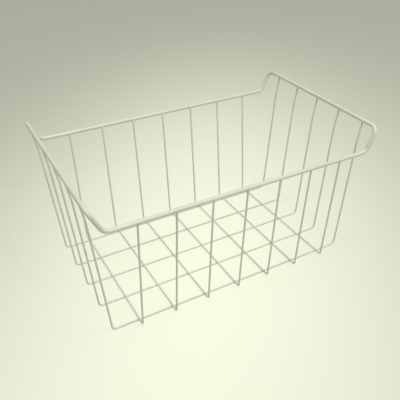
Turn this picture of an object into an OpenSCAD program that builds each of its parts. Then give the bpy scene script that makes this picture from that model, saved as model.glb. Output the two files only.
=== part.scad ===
// Hanging wire basket for produce and frozen goods.
// A crate of thin coated wires, welded where they cross, hangs from one heavy rim rod.
// The rod runs low along both long sides and climbs at its four corners to two raised
// end rails, which rest on ledges or serve as grips.
// X runs along the basket, Y across it, and Z = 0 is the surface it stands on.

/* [Wires] */
// Diameter of the crate wires over their coating
wire_d = 2.6; // [2:0.1:4]
// Diameter of the rim rod over its coating
rod_d = 5.8; // [4.5:0.1:8]
// How far two wires are pressed into each other at a weld
weld_sink = 0.2; // [0.05:0.05:0.4]

/* [Floor] */
// Length of the floor, between the axes of the end walls
floor_len = 375; // [300:1:480]
// Width of the floor, between the axes of the front and back walls
floor_w = 225; // [180:1:290]
// Number of cross wires, each one piece of floor, front wall and back wall
cross_count = 7; // [3:1:11]
// Number of long wires, each one piece of floor and both end walls
long_count = 5; // [3:1:7]
// Distance from an end wall to the nearest cross wire, at the floor
end_gap = 37.5; // [15:0.5:60]
// Distance from the front or back wall to the nearest long wire, at the floor
side_gap = 12.5; // [8:0.5:30]

/* [Rim] */
// Height of the rod's axis along the long sides
rim_h = 180; // [120:1:240]
// Height by which the axis of an end rail lies above that
rail_rise = 33; // [26:1:50]
// Distance that a long side of the rod stands outside the wall's foot, between axes
side_lean = 16.5; // [8:0.5:30]
// Distance that an end wall leans outwards between the floor and the rim's height
end_lean = 14.5; // [6:0.5:18]
// Distance that an end rail stands outside the end wall's foot, between axes
rail_reach = 20; // [12:1:32]
// Distance that a ramp leans outwards between the long side and the end rail
ramp_lean = 16.5; // [8:0.5:26]
// How far a cross wire's cut end stands above the rod's axis, along the wire
tip_over = 0.2; // [0:0.1:2.5]

/* [Bends] */
// Radius of the rod's bends, at its axis
rod_bend_r = 12; // [8:0.5:14]
// Radius of the cross wires' bends at the floor, at the axis
cross_bend_r = 4; // [3:0.5:8]
// Radius of the long wires' bends at the floor, at the axis
long_bend_r = 6.5; // [4:0.5:12]
// Radius of the long wires' slight bend at the rim's height, at the axis
kink_bend_r = 30; // [15:1:60]

/* [Hidden] */
$fn = 32;
WIRE_COLOUR = "#e4e6d8";
ROD_COLOUR = "#eceee0";

// A bend swells by a hair over the straights and takes in their ends
bend_swell = 0.02;
bend_lap = 0.15;

long_z = (wire_d + bend_swell) / 2;
cross_z = long_z + wire_d - weld_sink;
end_foot = floor_len / 2;
side_foot = floor_w / 2;
rim_y = side_foot + side_lean;
rail_x = end_foot + rail_reach;
rail_z = rim_h + rail_rise;
ramp_x = rail_x - ramp_lean;

// The front and back walls lie inside the rod and touch it: a wire's axis passes the
// rod's axis at the distance side_lap, and its slope follows from where both stand.
side_lap = (rod_d + wire_d) / 2 - weld_sink;
foot_to_rod = norm([side_lean, rim_h - cross_z]);
wall_angle = atan2(rim_h - cross_z, side_lean) + asin(side_lap / foot_to_rod);
wall_len = sqrt(pow(foot_to_rod, 2) - pow(side_lap, 2)) + tip_over;

cross_pitch = (floor_len - 2 * end_gap) / (cross_count - 1);
long_pitch = (floor_w - 2 * side_gap) / (long_count - 1);

function unit(v) = v / norm(v);
// Angle between the directions u and v
function turn(u, v) = acos(u * v);
// Length that a bend of radius r takes from each of the straights it joins
function take(u, v, r) = r * tan(turn(u, v) / 2);

// A straight stretch from a to b
module straight(a, b, d) {
    u = unit(b - a);
    translate(a)
        rotate([0, acos(u[2]), atan2(u[1], u[0])])
            cylinder(h = norm(b - a), d = d);
}

// A round bend at the corner p, from the direction u to the direction v
module bend(p, u, v, r, d) {
    axis = unit(cross(u, v));
    out = cross(u, axis);
    centre = p - take(u, v, r) * u - r * out;
    lap_angle = bend_lap / r * 180 / PI;
    multmatrix([
        [out[0], u[0], axis[0], centre[0]],
        [out[1], u[1], axis[1], centre[1]],
        [out[2], u[2], axis[2], centre[2]],
        [0, 0, 0, 1]
    ])
        rotate([0, 0, -lap_angle])
            rotate_extrude(angle = turn(u, v) + 2 * lap_angle)
                translate([r, 0])
                    circle(d = d + bend_swell);
}

// A wire or rod through the points, bent at each to its radius. A closed one joins its
// last point to its first, and an open one has no bend at its two ends.
module bent(points, radii, d, closed = false) {
    n = len(points);
    last = closed ? n - 1 : n - 2;
    dirs = [for (i = [0 : last]) unit(points[(i + 1) % n] - points[i])];
    takes = [
        for (i = [0 : n - 1])
            closed || (i > 0 && i < n - 1) ? take(dirs[(i + n - 1) % n], dirs[i], radii[i]) : 0
    ];
    for (i = [0 : last]) {
        j = (i + 1) % n;
        straight(points[i] + takes[i] * dirs[i], points[j] - takes[j] * dirs[i], d);
        if (takes[j] > 0)
            bend(points[j], dirs[i], dirs[j], radii[j], d);
    }
}

// The heavy rod: two low long sides, four ramps and two raised end rails in one ring
module rim_rod() {
    corners = [
        [-ramp_x, -rim_y, rim_h],
        [ramp_x, -rim_y, rim_h],
        [rail_x, -rim_y, rail_z],
        [rail_x, rim_y, rail_z],
        [ramp_x, rim_y, rim_h],
        [-ramp_x, rim_y, rim_h],
        [-rail_x, rim_y, rail_z],
        [-rail_x, -rim_y, rail_z]
    ];
    color(ROD_COLOUR)
        bent(corners, [for (p = corners) rod_bend_r], rod_d, closed = true);
}

// A wire up the front wall, across the floor and up the back wall, inside the rod
module cross_wire(x) {
    foot = [x, side_foot, cross_z];
    top = foot + wall_len * [0, cos(wall_angle), sin(wall_angle)];
    front = [for (p = [top, foot]) [p[0], -p[1], p[2]]];
    color(WIRE_COLOUR)
        bent(concat(front, [foot, top]), [0, cross_bend_r, cross_bend_r, 0], wire_d);
}

// A wire up one end wall, along the floor and up the other. Each end butts on the
// underside of an end rail and is shaped to fit round it.
module long_wire(y) {
    foot = [end_foot, y, long_z];
    kink = [end_foot + end_lean, y, rim_h];
    rail = [rail_x, y, rail_z];
    left = [for (p = [rail, kink, foot]) [-p[0], p[1], p[2]]];
    radii = [0, kink_bend_r, long_bend_r, long_bend_r, kink_bend_r, 0];
    color(WIRE_COLOUR)
        difference() {
            bent(concat(left, [foot, kink, rail]), radii, wire_d);
            for (side = [-1, 1])
                translate([side * rail_x, y, rail_z])
                    rotate([90, 0, 0])
                        cylinder(h = 2 * wire_d, d = rod_d - 2 * weld_sink, center = true);
        }
}

rim_rod();
for (i = [1 : cross_count])
    cross_wire((i - 1) * cross_pitch + end_gap - end_foot);
for (i = [1 : long_count])
    long_wire((i - 1) * long_pitch + side_gap - side_foot);
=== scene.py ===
# Wire produce basket: a crate of thin white-coated wires hung from one heavy rim rod.
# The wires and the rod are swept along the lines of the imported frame, and the coat that
# pools in every weld is added where they touch.
import math

import bpy
import numpy as np
from mathutils import Matrix, Vector


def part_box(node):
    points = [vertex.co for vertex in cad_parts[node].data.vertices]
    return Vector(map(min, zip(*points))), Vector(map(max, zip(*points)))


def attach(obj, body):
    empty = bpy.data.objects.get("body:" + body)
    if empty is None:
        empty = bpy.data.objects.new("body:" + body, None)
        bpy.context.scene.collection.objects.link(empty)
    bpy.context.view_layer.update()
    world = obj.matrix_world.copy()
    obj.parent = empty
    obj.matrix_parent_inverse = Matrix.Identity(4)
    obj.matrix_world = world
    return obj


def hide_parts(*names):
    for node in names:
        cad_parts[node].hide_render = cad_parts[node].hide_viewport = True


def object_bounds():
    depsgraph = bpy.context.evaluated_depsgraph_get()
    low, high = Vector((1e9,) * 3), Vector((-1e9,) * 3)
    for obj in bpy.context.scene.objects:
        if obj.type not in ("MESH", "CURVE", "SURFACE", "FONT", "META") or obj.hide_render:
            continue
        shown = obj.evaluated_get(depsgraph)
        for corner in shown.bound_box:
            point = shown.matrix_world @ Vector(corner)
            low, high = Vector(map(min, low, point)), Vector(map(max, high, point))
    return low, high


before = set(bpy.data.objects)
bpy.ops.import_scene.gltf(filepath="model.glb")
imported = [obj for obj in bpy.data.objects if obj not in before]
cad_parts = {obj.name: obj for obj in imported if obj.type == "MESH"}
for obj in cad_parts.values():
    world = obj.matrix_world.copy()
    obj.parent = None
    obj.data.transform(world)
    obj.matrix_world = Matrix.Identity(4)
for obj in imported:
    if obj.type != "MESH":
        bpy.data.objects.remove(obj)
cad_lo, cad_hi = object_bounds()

MM = 0.001

# ---------------------------------------------------------------- sizes of the basket

ROD_R = 2.9 * MM            # rim rod over its coat
WELD_SINK = 0.2 * MM        # two wires pressed into each other at a weld
END_FOOT = 187.5 * MM       # axis of an end wall at the floor, from the middle
SIDE_FOOT = 112.5 * MM      # axis of the front or back wall at the floor
END_LEAN = 14.5 * MM        # lean of an end wall up to the rim's height
RAMP_LEAN = 16.5 * MM       # lean of a ramp from the long side to the end rail
TIP_OVER = 0.2 * MM         # cut end of a cross wire above the rod's axis

ROD_BEND = 12 * MM
CROSS_BEND = 4 * MM
LONG_BEND = 6.5 * MM
KINK_BEND = 30 * MM

CROSS_WIRES = sorted(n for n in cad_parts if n.startswith("cross_wire_"))
LONG_WIRES = sorted(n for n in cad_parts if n.startswith("long_wire_"))


def middle(node, axis):
    """Place of a wire's plane along one axis."""
    lo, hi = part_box(node)
    return (lo[axis] + hi[axis]) / 2


rim_lo, rim_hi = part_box("rim_rod")
cross_lo, cross_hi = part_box(CROSS_WIRES[0])
long_lo, long_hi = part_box(LONG_WIRES[0])

wire_r = (cross_hi.x - cross_lo.x) / 2
rail_x = rim_hi.x - ROD_R
rim_y = rim_hi.y - ROD_R
rail_z = rim_hi.z - ROD_R
rim_h = rim_lo.z + ROD_R
ramp_x = rail_x - RAMP_LEAN
cross_z = cross_lo.z + wire_r
long_z = long_lo.z + wire_r

# A wall wire's axis passes the rod's axis at side_lap, inside the rod
side_lap = ROD_R + wire_r - WELD_SINK
foot_to_rod = math.hypot(rim_y - SIDE_FOOT, rim_h - cross_z)
wall_angle = math.atan2(rim_h - cross_z, rim_y - SIDE_FOOT) + math.asin(side_lap / foot_to_rod)
wall_up = Vector((0, math.cos(wall_angle), math.sin(wall_angle)))
wall_to_weld = math.sqrt(foot_to_rod ** 2 - side_lap ** 2)


# ---------------------------------------------------------------- small tools

def linear(hex_colour):
    """An sRGB hex colour as the linear RGBA that a shader takes."""
    parts = [int(hex_colour[i:i + 2], 16) / 255 for i in (1, 3, 5)]
    return [c / 12.92 if c <= 0.04045 else ((c + 0.055) / 1.055) ** 2.4 for c in parts] + [1]


def add(tree, kind, sockets=None, **settings):
    """Adds a node with its settings, and sets or links its input sockets."""
    node = tree.nodes.new(kind)
    for name, value in settings.items():
        setattr(node, name, value)
    for name, value in (sockets or {}).items():
        if isinstance(value, bpy.types.NodeSocket):
            tree.links.new(value, node.inputs[name])
        else:
            node.inputs[name].default_value = value
    return node


def new_mesh_object(name, points, edges=(), faces=()):
    mesh = bpy.data.meshes.new(name)
    mesh.from_pydata([tuple(p) for p in points], edges, faces)
    mesh.update()
    obj = bpy.data.objects.new(name, mesh)
    bpy.context.scene.collection.objects.link(obj)
    return obj


def give(obj, name, kind, values):
    """Stores one value for each point of an object's mesh."""
    key = "vector" if kind == "FLOAT_VECTOR" else "value"
    layer = obj.data.attributes.new(name, kind, "POINT")
    layer.data.foreach_set(key, np.asarray(values, np.float32).ravel())


def grown(host, tree, inputs, name):
    """Runs a Geometry Nodes tree on a host object and keeps the result as a plain mesh."""
    modifier = host.modifiers.new(tree.name, "NODES")
    modifier.node_group = tree
    for item in tree.interface.items_tree:
        if item.name in inputs:
            modifier[item.identifier] = inputs[item.name]
    graph = bpy.context.evaluated_depsgraph_get()
    mesh = bpy.data.meshes.new_from_object(host.evaluated_get(graph))
    host.modifiers.remove(modifier)
    old = host.data
    mesh.name = name
    host.data = mesh
    host.name = name
    bpy.data.meshes.remove(old)
    return host


# ---------------------------------------------------------------- materials

def epoxy_coat(name, body, thick, roughness):
    """Epoxy powder sprayed on steel wire and baked: a slightly green off-white skin with
    a soft gloss, a fine orange peel, and a warmer tone where the powder lies thicker."""
    material = bpy.data.materials.new(name)
    material.use_nodes = True
    tree = material.node_tree
    tree.nodes.clear()
    place = add(tree, "ShaderNodeTexCoord").outputs["Object"]

    # Thickness of the coat drifts over some 40 mm of wire
    drift = add(tree, "ShaderNodeTexNoise", {"Vector": place, "Scale": 1 / (40 * MM), "Detail": 3.0})
    tone = add(tree, "ShaderNodeMapRange", {
        "Value": drift.outputs["Fac"], "From Min": 0.35, "From Max": 0.7})
    colour = add(tree, "ShaderNodeMix", {
        "Factor": tone.outputs["Result"], 6: linear(body), 7: linear(thick)}, data_type="RGBA")

    # Handling leaves the gloss a little uneven over some 12 mm
    haze = add(tree, "ShaderNodeTexNoise", {"Vector": place, "Scale": 1 / (12 * MM), "Detail": 4.0})
    gloss = add(tree, "ShaderNodeMapRange", {
        "Value": haze.outputs["Fac"], "To Min": roughness - 0.06, "To Max": roughness + 0.08})

    # Orange peel of the baked powder, 1.6 mm from crest to crest, with finer grit in it
    peel = add(tree, "ShaderNodeTexNoise", {"Vector": place, "Scale": 1 / (1.6 * MM), "Detail": 2.0})
    grit = add(tree, "ShaderNodeTexNoise", {"Vector": place, "Scale": 1 / (0.4 * MM), "Detail": 1.0})
    relief = add(tree, "ShaderNodeMath", {
        0: grit.outputs["Fac"], 1: 0.25, 2: peel.outputs["Fac"]}, operation="MULTIPLY_ADD")
    bump = add(tree, "ShaderNodeBump", {
        "Height": relief.outputs["Value"], "Strength": 0.5, "Distance": 0.06 * MM})

    shader = add(tree, "ShaderNodeBsdfPrincipled", {
        "Base Color": colour.outputs[2], "Roughness": gloss.outputs["Result"],
        "IOR": 1.55, "Normal": bump.outputs["Normal"]})
    add(tree, "ShaderNodeOutputMaterial", {"Surface": shader.outputs["BSDF"]})
    return material


rod_coat = epoxy_coat("epoxy_powder_coat_on_rod", "#e8e9d6", "#e0e1cc", 0.36)
wire_coat = epoxy_coat("epoxy_powder_coat_on_wire", "#ecedd9", "#e4e5cf", 0.38)
pooled_coat = epoxy_coat("epoxy_powder_coat_pooled_in_weld", "#e4e5d1", "#dadcc5", 0.36)


# ---------------------------------------------------------------- wires and rod

def rounded(corners, radius, closed=False, step=math.radians(5)):
    """Points along a line through the corners, with each bend turned as a round arc."""
    n = len(corners)
    path = []
    for i, corner in enumerate(corners):
        if not closed and i in (0, n - 1):
            path.append(corner)
            continue
        into = (corner - corners[i - 1]).normalized()
        out = (corners[(i + 1) % n] - corner).normalized()
        turn = into.angle(out)
        take = radius[i] * math.tan(turn / 2)
        inward = (out - into).normalized()
        centre = corner + inward * (radius[i] / math.cos(turn / 2))
        axis = into.cross(out).normalized()
        start = corner - into * take - centre
        count = max(4, math.ceil(turn / step))
        path += [centre + Matrix.Rotation(turn * k / count, 3, axis) @ start for k in range(count + 1)]
    return path


def sweep_tree():
    """Sweeps a round section along a host's edges. The attribute "girth" scales it."""
    tree = bpy.data.node_groups.new("coated_wire_sweep", "GeometryNodeTree")
    face = tree.interface
    face.new_socket("Line", in_out="INPUT", socket_type="NodeSocketGeometry")
    face.new_socket("Radius", in_out="INPUT", socket_type="NodeSocketFloat")
    face.new_socket("Sides", in_out="INPUT", socket_type="NodeSocketInt")
    face.new_socket("Coat", in_out="INPUT", socket_type="NodeSocketMaterial")
    face.new_socket("Wire", in_out="OUTPUT", socket_type="NodeSocketGeometry")
    given = add(tree, "NodeGroupInput").outputs
    line = add(tree, "GeometryNodeMeshToCurve", {"Mesh": given["Line"]})
    section = add(tree, "GeometryNodeCurvePrimitiveCircle", {
        "Resolution": given["Sides"], "Radius": given["Radius"]})
    girth = add(tree, "GeometryNodeInputNamedAttribute", {"Name": "girth"}, data_type="FLOAT")
    skin = add(tree, "GeometryNodeCurveToMesh", {
        "Curve": line.outputs["Curve"], "Profile Curve": section.outputs["Curve"],
        "Scale": girth.outputs["Attribute"], "Fill Caps": True})
    smooth = add(tree, "GeometryNodeSetShadeSmooth", {"Geometry": skin.outputs["Mesh"]})
    real = add(tree, "GeometryNodeRealizeInstances", {"Geometry": smooth.outputs["Geometry"]})
    coated = add(tree, "GeometryNodeSetMaterial", {
        "Geometry": real.outputs["Geometry"], "Material": given["Coat"]})
    add(tree, "NodeGroupOutput", {"Wire": coated.outputs["Geometry"]})
    return tree


SWEEP = sweep_tree()


def swept(node, path, radius, sides, coat, girth=None, closed=False):
    """A coated wire or rod along a path, which stands for its CAD node."""
    last = len(path) if closed else len(path) - 1
    edges = [(i, (i + 1) % len(path)) for i in range(last)]
    host = new_mesh_object(f"coated_{node}", path, edges)
    give(host, "girth", "FLOAT", girth or [1.0] * len(path))
    inputs = {"Radius": radius, "Sides": sides, "Coat": coat}
    piece = grown(host, SWEEP, inputs, f"coated_{node}")
    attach(piece, "root")
    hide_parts(node)
    return piece


def domed(path, radius, steps=6):
    """Rounds both ends of a path: extra points and their girths, where the coat has
    pulled back from the cut edge of the wire."""
    girth = [1.0] * len(path)
    for _ in range(2):
        tip = path[0]
        along = (path[1] - tip).normalized()
        angles = [math.pi / 2 * k / steps for k in range(steps + 1)]
        cap = [tip + along * radius * 0.3 * (1 - math.cos(a)) for a in angles]
        widths = [0.7 + 0.3 * math.sin(a) for a in angles]
        path = cap + path[1:]
        girth = widths + girth[1:]
        path.reverse()
        girth.reverse()
    return path, girth


def make_rim_rod():
    corners = [
        Vector((-ramp_x, -rim_y, rim_h)),
        Vector((ramp_x, -rim_y, rim_h)),
        Vector((rail_x, -rim_y, rail_z)),
        Vector((rail_x, rim_y, rail_z)),
        Vector((ramp_x, rim_y, rim_h)),
        Vector((-ramp_x, rim_y, rim_h)),
        Vector((-rail_x, rim_y, rail_z)),
        Vector((-rail_x, -rim_y, rail_z)),
    ]
    path = rounded(corners, [ROD_BEND] * len(corners), closed=True)
    swept("rim_rod", path, ROD_R, 40, rod_coat, closed=True)


def make_cross_wire(node):
    x = middle(node, 0)
    foot = Vector((x, SIDE_FOOT, cross_z))
    tip = foot + wall_up * (wall_to_weld + TIP_OVER)
    front = [Vector((x, -p.y, p.z)) for p in (tip, foot)]
    path = rounded(front + [foot, tip], [0, CROSS_BEND, CROSS_BEND, 0])
    path, girth = domed(path, wire_r)
    swept(node, path, wire_r, 24, wire_coat, girth)


def long_wire_corners(y):
    """Foot and kink of a long wire on the right, and the axis of the rail it meets."""
    foot = Vector((END_FOOT, y, long_z))
    kink = Vector((END_FOOT + END_LEAN, y, rim_h))
    rail = Vector((rail_x, y, rail_z))
    return foot, kink, rail


def make_long_wire(node):
    foot, kink, rail = long_wire_corners(middle(node, 1))
    top = rail - (rail - kink).normalized() * (ROD_R - 2 * WELD_SINK)
    left = [Vector((-p.x, p.y, p.z)) for p in (top, kink, foot)]
    radii = [0, KINK_BEND, LONG_BEND, LONG_BEND, KINK_BEND, 0]
    path = rounded(left + [foot, kink, top], radii)
    swept(node, path, wire_r, 24, wire_coat)


# ---------------------------------------------------------------- coat pooled in welds

def meniscus(a, corner, b, steps=5):
    """Points of the concave coat surface from a to b, bent towards the corner."""
    ts = [k / steps for k in range(steps + 1)]
    return [(1 - t) ** 2 * a + 2 * t * (1 - t) * corner + t * t * b for t in ts]


def ring_mesh(name, rings, capped):
    """A closed mesh through rings of points. A capped one ends in a point at each end,
    and the other joins its last ring to its first."""
    rows = len(rings)
    count = len(rings[0])
    points = [p for ring in rings for p in ring]
    faces = []
    for i in range(rows if not capped else rows - 1):
        j = (i + 1) % rows
        for k in range(count):
            m = (k + 1) % count
            faces.append((i * count + k, j * count + k, j * count + m, i * count + m))
    if capped:
        for ring, flip in ((0, True), (rows - 1, False)):
            centre = sum(rings[ring], Vector()) / count
            points.append(centre)
            hub = len(points) - 1
            for k in range(count):
                m = (k + 1) % count
                rim = (ring * count + k, ring * count + m)
                faces.append((hub, *(rim if flip else rim[::-1])))
    obj = new_mesh_object(name, points, faces=faces)
    return obj


def crossing_fillet(name, upper_r, lower_r, gap, end=None, turns=32):
    """Coat round the touching place of two crossed wires. The upper one runs along Y and
    the lower one along X, and the coat bridges them out to where they stand gap apart. It
    stops at end on the upper wire's +Y side, where that wire is cut off."""
    upper_z = upper_r - WELD_SINK / 2
    lower_z = WELD_SINK / 2 - lower_r
    hidden = 0.03 * MM
    columns = []
    for k in range(turns):
        angle = 2 * math.pi * k / turns
        c, s = abs(math.cos(angle)), abs(math.sin(angle))

        def upper(d):
            return upper_z - math.sqrt(max(upper_r ** 2 - (d * c) ** 2, 0))

        def lower(d):
            return lower_z + math.sqrt(max(lower_r ** 2 - (d * s) ** 2, 0))

        near, far = 0.0, min(0.99 * upper_r / max(c, 1e-6), 0.99 * lower_r / max(s, 1e-6))
        if upper(far) - lower(far) > gap:
            for _ in range(30):
                half = (near + far) / 2
                near, far = (half, far) if upper(half) - lower(half) < gap else (near, half)
        if end and math.sin(angle) > 0:
            far = min(far, end / math.sin(angle))
        rise = far * c * c / (upper_z - upper(far))
        fall = -far * s * s / (lower(far) - lower_z)
        apart = upper(far) - lower(far)
        back = apart / max(rise - fall, 1e-6)
        a = Vector((far, 0, upper(far)))
        b = Vector((far, 0, lower(far)))
        corner = Vector((far - back, 0, upper(far) - rise * back))
        turn = Matrix.Rotation(angle, 3, "Z")
        profile = [Vector((far * 0.6, 0, upper(far * 0.6) + 3 * hidden))]
        profile += meniscus(a + Vector((0, 0, hidden)), corner, b - Vector((0, 0, hidden)))
        profile += [Vector((far * 0.6, 0, lower(far * 0.6) - 3 * hidden))]
        columns.append([turn @ p for p in profile])
    rings = [[column[i] for column in columns] for i in range(len(columns[0]))]
    return ring_mesh(name, rings, capped=True)


def butt_collar(name, wire, rod, leg, turns=32):
    """Coat round a wire that comes up along Z and ends on a rod whose axis is Y."""
    hidden = 0.04 * MM
    columns = []
    for k in range(turns):
        angle = 2 * math.pi * k / turns
        c = abs(math.cos(angle))

        def under(d):
            return -math.sqrt(rod ** 2 - (d * c) ** 2)

        reach = wire + leg
        slope = reach * c * c / -under(reach)
        on_wire = Vector((wire - hidden, 0, under(wire) - leg))
        on_rod = Vector((reach, 0, under(reach) + hidden))
        corner = Vector((wire, 0, under(reach) + slope * (wire - reach)))
        inside = Vector((wire - 4 * hidden, 0, under(wire) + 4 * hidden))
        turn = Matrix.Rotation(angle, 3, "Z")
        columns.append([turn @ p for p in meniscus(on_rod, corner, on_wire) + [inside]])
    rings = [[column[i] for column in columns] for i in range(len(columns[0]))]
    return ring_mesh(name, rings, capped=False)


def weld_tree():
    """Puts a copy of one weld's coat on every point of a host, turned to its joint and
    a little larger or smaller than the next."""
    tree = bpy.data.node_groups.new("coat_in_welds", "GeometryNodeTree")
    face = tree.interface
    face.new_socket("Joints", in_out="INPUT", socket_type="NodeSocketGeometry")
    face.new_socket("Fillet", in_out="INPUT", socket_type="NodeSocketObject")
    face.new_socket("Least", in_out="INPUT", socket_type="NodeSocketFloat")
    face.new_socket("Most", in_out="INPUT", socket_type="NodeSocketFloat")
    face.new_socket("Seed", in_out="INPUT", socket_type="NodeSocketInt")
    face.new_socket("Coat", in_out="INPUT", socket_type="NodeSocketMaterial")
    face.new_socket("Welds", in_out="OUTPUT", socket_type="NodeSocketGeometry")
    given = add(tree, "NodeGroupInput").outputs
    fillet = add(tree, "GeometryNodeObjectInfo", {"Object": given["Fillet"], "As Instance": True})
    turn = add(tree, "GeometryNodeInputNamedAttribute", {"Name": "turn"}, data_type="FLOAT_VECTOR")
    turned = add(tree, "FunctionNodeEulerToRotation", {"Euler": turn.outputs["Attribute"]})
    size = add(tree, "FunctionNodeRandomValue", {
        2: given["Least"], 3: given["Most"], "Seed": given["Seed"]}, data_type="FLOAT")
    copies = add(tree, "GeometryNodeInstanceOnPoints", {
        "Points": given["Joints"], "Instance": fillet.outputs["Geometry"],
        "Rotation": turned.outputs["Rotation"], "Scale": size.outputs[1]})
    real = add(tree, "GeometryNodeRealizeInstances", {"Geometry": copies.outputs["Instances"]})
    smooth = add(tree, "GeometryNodeSetShadeSmooth", {"Geometry": real.outputs["Geometry"]})
    coated = add(tree, "GeometryNodeSetMaterial", {
        "Geometry": smooth.outputs["Geometry"], "Material": given["Coat"]})
    add(tree, "NodeGroupOutput", {"Welds": coated.outputs["Geometry"]})
    return tree


WELDS = weld_tree()


def weld_row(name, fillet, joints, seed):
    """One piece with the coat of all joints of a kind. A joint is a place and a turn."""
    host = new_mesh_object(name, [place for place, _ in joints])
    give(host, "turn", "FLOAT_VECTOR", [tuple(turn.to_euler()) for _, turn in joints])
    inputs = {"Fillet": fillet, "Least": 0.97, "Most": 1.05, "Seed": seed, "Coat": pooled_coat}
    piece = grown(host, WELDS, inputs, name)
    bpy.data.objects.remove(fillet)
    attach(piece, "root")


def axes(x, y, z):
    """The turn that takes the X, Y and Z axes to these directions."""
    return Matrix((x, y, z)).transposed()


def make_floor_welds():
    z = (cross_z + long_z) / 2
    upright = Matrix.Identity(3)
    joints = [
        (Vector((middle(c, 0), middle(n, 1), z)), upright) for c in CROSS_WIRES for n in LONG_WIRES
    ]
    fillet = crossing_fillet("crossing", wire_r, wire_r, 0.8 * MM)
    weld_row("floor_weld_coat", fillet, joints, seed=3)


def make_rim_welds():
    joints = []
    for node in CROSS_WIRES:
        for side in (-1, 1):
            up = Vector((0, side * wall_up.y, wall_up.z))
            along = Vector((side, 0, 0))
            inward = along.cross(up)
            axis = Vector((middle(node, 0), side * rim_y, rim_h))
            joints.append((axis + inward * (ROD_R - WELD_SINK / 2), axes(along, up, inward)))
    fillet = crossing_fillet("lap", wire_r, ROD_R, 0.8 * MM, end=TIP_OVER + 0.25 * MM)
    weld_row("rim_weld_coat", fillet, joints, seed=5)


def make_rail_welds():
    joints = []
    for node in LONG_WIRES:
        _, kink, rail = long_wire_corners(middle(node, 1))
        for side in (-1, 1):
            up = (rail - kink).normalized()
            up.x *= side
            across = Vector((0, 1, 0)).cross(up)
            joints.append((Vector((side * rail.x, rail.y, rail.z)), axes(across, Vector((0, 1, 0)), up)))
    collar = butt_collar("butt", wire_r, ROD_R, 0.7 * MM)
    weld_row("rail_weld_coat", collar, joints, seed=7)


make_rim_rod()
for name in CROSS_WIRES:
    make_cross_wire(name)
for name in LONG_WIRES:
    make_long_wire(name)
make_floor_welds()
make_rim_welds()
make_rail_welds()


# ---------------------------------------------------------------- floor, light and camera

BOARD_COLOUR = "#fcfde5"
PAINTED_POOL_AT = (-0.044, -0.07, 0)
PAINTED_POOL_TURN = math.radians(54.8)
PAINTED_POOL_SIZE = (0.77, 0.39, 1.0)
BOARD_NEAR = 1.03           # brightness of the board's painted pool of light in its middle
BOARD_FAR = 0.4             # and far from it
BOARD_GLOW = 0.8            # share of what is seen that doesn't depend on the lamps
ROOM_LIGHT = 0.42


def looked_at(tree):
    """1 for a ray that comes from the camera, a reflection or through glass, else 0."""
    rays = add(tree, "ShaderNodeLightPath").outputs
    seen = add(tree, "ShaderNodeMath", {
        0: rays["Is Camera Ray"], 1: rays["Is Glossy Ray"]}, operation="MAXIMUM")
    seen = add(tree, "ShaderNodeMath", {
        0: seen.outputs["Value"], 1: rays["Is Transmission Ray"]}, operation="MAXIMUM")
    return seen.outputs["Value"]


def make_floor():
    """A pale board with a painted pool of light. Where it is looked at it glows, brightest in the pool's
    middle, so that it reads as brightly lit, and the light it throws back on the basket stays that of
    plain paper."""
    half = 6.0
    corners = [(-half, -half, 0), (half, -half, 0), (half, half, 0), (-half, half, 0)]
    floor = new_mesh_object("floor", corners, faces=[(0, 1, 2, 3)])
    material = bpy.data.materials.new("pale_board_with_painted_light_pool")
    material.use_nodes = True
    tree = material.node_tree
    tree.nodes.clear()

    # The painted pool of light on the board, cast by no lamp: a glow in a long oval round the pool's set
    # middle that fades outwards
    place = add(tree, "ShaderNodeTexCoord").outputs["Object"]
    oval = add(tree, "ShaderNodeMapping", {
        "Vector": place, "Location": PAINTED_POOL_AT, "Rotation": (0, 0, PAINTED_POOL_TURN),
        "Scale": PAINTED_POOL_SIZE}, vector_type="TEXTURE")
    away = add(tree, "ShaderNodeVectorMath", {0: oval.outputs["Vector"]}, operation="LENGTH")
    square = add(tree, "ShaderNodeMath", {0: away.outputs["Value"], 1: 2.0}, operation="POWER")
    fall = add(tree, "ShaderNodeMath", {0: 0.3679, 1: square.outputs["Value"]}, operation="POWER")
    level = add(tree, "ShaderNodeMapRange", {
        "Value": fall.outputs["Value"], "To Min": BOARD_FAR, "To Max": BOARD_NEAR})

    seen = looked_at(tree)
    # Looked at, the board is painted brighter than the light it throws back on the basket
    colour = add(tree, "ShaderNodeMix", {
        "Factor": seen, 6: linear("#c0c1b7"), 7: linear("#f8f9e4")}, data_type="RGBA")
    lit = add(tree, "ShaderNodeBsdfDiffuse", {"Color": colour.outputs[2]})
    # Painted light: where it is looked at, the board glows with the pool's brightness
    glow = add(tree, "ShaderNodeEmission", {
        "Color": linear(BOARD_COLOUR), "Strength": level.outputs["Result"]})
    share = add(tree, "ShaderNodeMath", {0: seen, 1: BOARD_GLOW}, operation="MULTIPLY")
    shader = add(tree, "ShaderNodeMixShader", {
        0: share.outputs["Value"], 1: lit.outputs["BSDF"], 2: glow.outputs["Emission"]})
    add(tree, "ShaderNodeOutputMaterial", {"Surface": shader.outputs["Shader"]})
    floor.data.materials.append(material)


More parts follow.
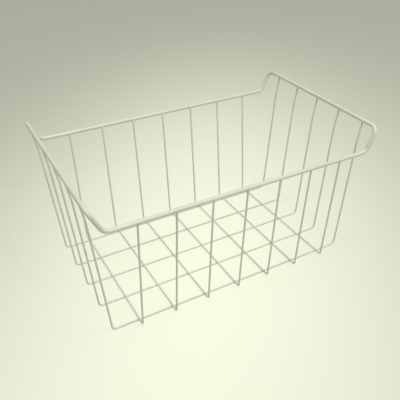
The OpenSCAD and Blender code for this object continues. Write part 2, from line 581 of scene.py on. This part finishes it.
def make_world():
    """An evenly lit room, whose walls go on from the far edge of the board."""
    world = bpy.data.worlds.new("soft_room")
    bpy.context.scene.world = world
    world.use_nodes = True
    tree = world.node_tree
    tree.nodes.clear()
    light = add(tree, "ShaderNodeBackground", {"Color": linear("#ffffff"), "Strength": ROOM_LIGHT})
    wall = add(tree, "ShaderNodeBackground", {"Color": linear(BOARD_COLOUR), "Strength": BOARD_FAR})
    view = add(tree, "ShaderNodeLightPath").outputs["Is Camera Ray"]
    room = add(tree, "ShaderNodeMixShader", {
        0: view, 1: light.outputs["Background"], 2: wall.outputs["Background"]})
    add(tree, "ShaderNodeOutputWorld", {"Surface": room.outputs["Shader"]})


def make_lamp(name, direction, distance, power, size):
    """A soft square lamp that shines on the middle of the basket."""
    light = bpy.data.lights.new(name, "AREA")
    light.energy = power
    light.size = size
    lamp = bpy.data.objects.new(name, light)
    back = Vector(direction).normalized()
    lamp.location = (cad_lo + cad_hi) / 2 + back * distance
    lamp.rotation_euler = (-back).to_track_quat("-Z", "Y").to_euler()
    bpy.context.scene.collection.objects.link(lamp)


def make_camera():
    data = bpy.data.cameras.new("camera")
    data.sensor_width = 36
    data.lens = 48.47
    data.shift_x = -0.0418
    data.shift_y = -0.0053
    camera = bpy.data.objects.new("camera", data)
    azimuth, elevation, roll = (math.radians(a) for a in (30.61, 32.99, 0.675))
    look = Vector((
        math.sin(azimuth) * math.cos(elevation),
        math.cos(azimuth) * math.cos(elevation),
        -math.sin(elevation)))
    aim = Vector((0.0245, -0.0055, 0.087))
    camera.location = aim - look * 0.82
    level = look.to_track_quat("-Z", "Y")
    camera.rotation_mode = "QUATERNION"
    camera.rotation_quaternion = level @ Matrix.Rotation(roll, 3, "Z").to_quaternion()
    bpy.context.scene.collection.objects.link(camera)
    bpy.context.scene.camera = camera


make_floor()
make_world()
make_lamp("overhead", (0.15, -0.2, 1.0), 2.0, 17.0, 0.8)
make_lamp("front", (0.1, -1.0, 1.0), 2.0, 5.5, 0.08)
make_camera()
bpy.context.scene.view_settings.view_transform = "Standard"
